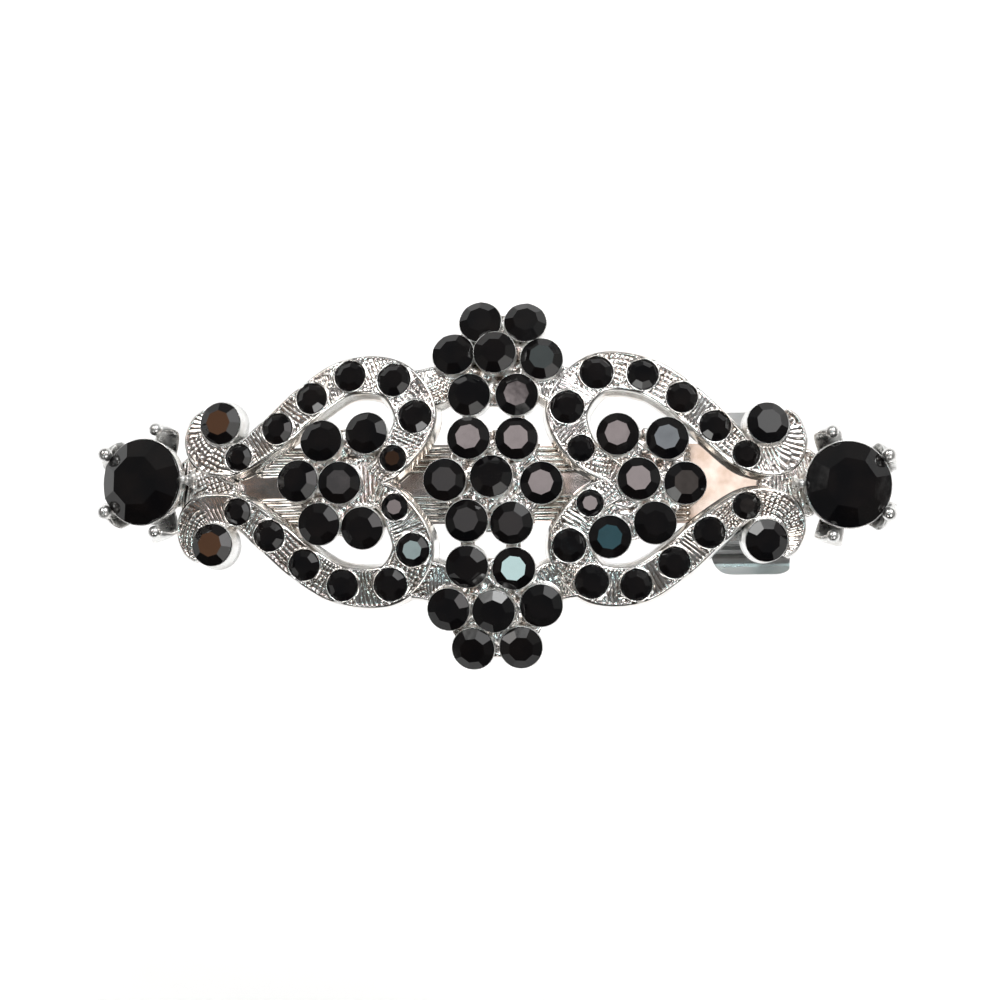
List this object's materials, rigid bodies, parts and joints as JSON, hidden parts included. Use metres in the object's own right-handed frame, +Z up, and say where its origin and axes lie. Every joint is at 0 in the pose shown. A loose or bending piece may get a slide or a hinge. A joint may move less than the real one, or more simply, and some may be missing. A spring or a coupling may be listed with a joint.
{
  "type": "rhinestone hair clip",
  "caption": "Arched openwork barrette of two scroll hearts and a faceted black stone cluster in engraved silver-tone metal, on a hinged spring clasp with a squeeze catch.",
  "frame": {"origin": "on the plane the clip rests on, under the middle of its outline", "axes": "+Z up out of the ornament's face, +X along the clip from the hinge end to the catch end, +Y across it"},
  "size_m": [0.0803, 0.0373, 0.0154],
  "materials": {
    "cast_silver": "rhodium-plated casting, engraved with fine cross-hatching",
    "setting_silver": "polished rhodium plate",
    "black_stone": "jet-black faceted glass, polished",
    "plated_steel": "nickel-plated sheet, lengthways grain",
    "catch_steel": "nickel-plated sheet, satin",
    "lock_steel": "nickel-plated sheet, satin",
    "spring_steel": "nickel-plated spring steel",
    "pin_steel": "plated steel wire"
  },
  "bodies": {
    "clip_base": {"ornament_casting": "cast_silver", "end_setting_left": "setting_silver", "end_setting_right": "setting_silver", "end_stone_left": "black_stone", "end_stone_right": "black_stone", "leaf_stone_left_back": "black_stone", "leaf_stone_left_front": "black_stone", "leaf_stone_right_back": "black_stone", "leaf_stone_right_front": "black_stone", "band_stones_left_back": "black_stone", "band_stones_left_front": "black_stone", "band_stones_right_back": "black_stone", "band_stones_right_front": "black_stone", "flower_stone_left_1": "black_stone", "flower_stone_left_2": "black_stone", "flower_stone_left_3": "black_stone", "flower_stone_left_4": "black_stone", "flower_stone_left_5": "black_stone", "flower_stone_left_6": "black_stone", "flower_stone_right_1": "black_stone", "flower_stone_right_2": "black_stone", "flower_stone_right_3": "black_stone", "flower_stone_right_4": "black_stone", "flower_stone_right_5": "black_stone", "flower_stone_right_6": "black_stone", "cluster_stone_1": "black_stone", "cluster_stone_2": "black_stone", "cluster_stone_3": "black_stone", "cluster_stone_4": "black_stone", "cluster_stone_5": "black_stone", "cluster_stone_6": "black_stone", "cluster_stone_7": "black_stone", "cluster_stone_8": "black_stone", "cluster_stone_9": "black_stone", "cluster_stone_10": "black_stone", "cluster_stone_11": "black_stone", "cluster_stone_12": "black_stone", "cluster_stone_13": "black_stone", "cluster_stone_14": "black_stone", "cluster_stone_15": "black_stone", "cluster_stone_16": "black_stone", "cluster_stone_17": "black_stone", "cluster_stone_18": "black_stone", "cluster_stone_19": "black_stone", "cluster_stone_20": "black_stone", "cluster_stone_21": "black_stone", "base_bar": "plated_steel", "hinge_pin": "pin_steel", "catch_plate": "catch_steel", "catch_rivets": "pin_steel"},
    "lock_bar": {"lock_bar": "lock_steel"},
    "tension_bow": {"tension_bow": "spring_steel"},
    "catch_wing_back": {"catch_wing_back": "catch_steel"},
    "catch_wing_front": {"catch_wing_front": "catch_steel"}
  },
  "joints": [
    {"name": "lock_hinge", "type": "hinge", "parent": "clip_base", "child": "lock_bar", "pos_m": [-0.0285, 0, 0.0015], "axis": [0, 1, 0], "range_deg": [0, 80]},
    {"name": "bow_flex", "type": "hinge", "parent": "clip_base", "child": "tension_bow", "pos_m": [-0.0247, 0, 0.0079], "axis": [0, 1, 0], "range_deg": [0, 8]},
    {"name": "wing_squeeze_back", "type": "hinge", "parent": "clip_base", "child": "catch_wing_back", "pos_m": [0.0253, 0.00345, 0.0073], "axis": [-1, 0, 0], "range_deg": [0, 8], "stiffness_Nm_per_rad": 0.05},
    {"name": "wing_squeeze_front", "type": "hinge", "parent": "clip_base", "child": "catch_wing_front", "pos_m": [0.0253, -0.00345, 0.0073], "axis": [1, 0, 0], "range_deg": [0, 8], "stiffness_Nm_per_rad": 0.05}
  ],
  "couplings": [
    {"joint": "bow_flex", "follows": "lock_hinge", "ratio": 0.1}
  ]
}
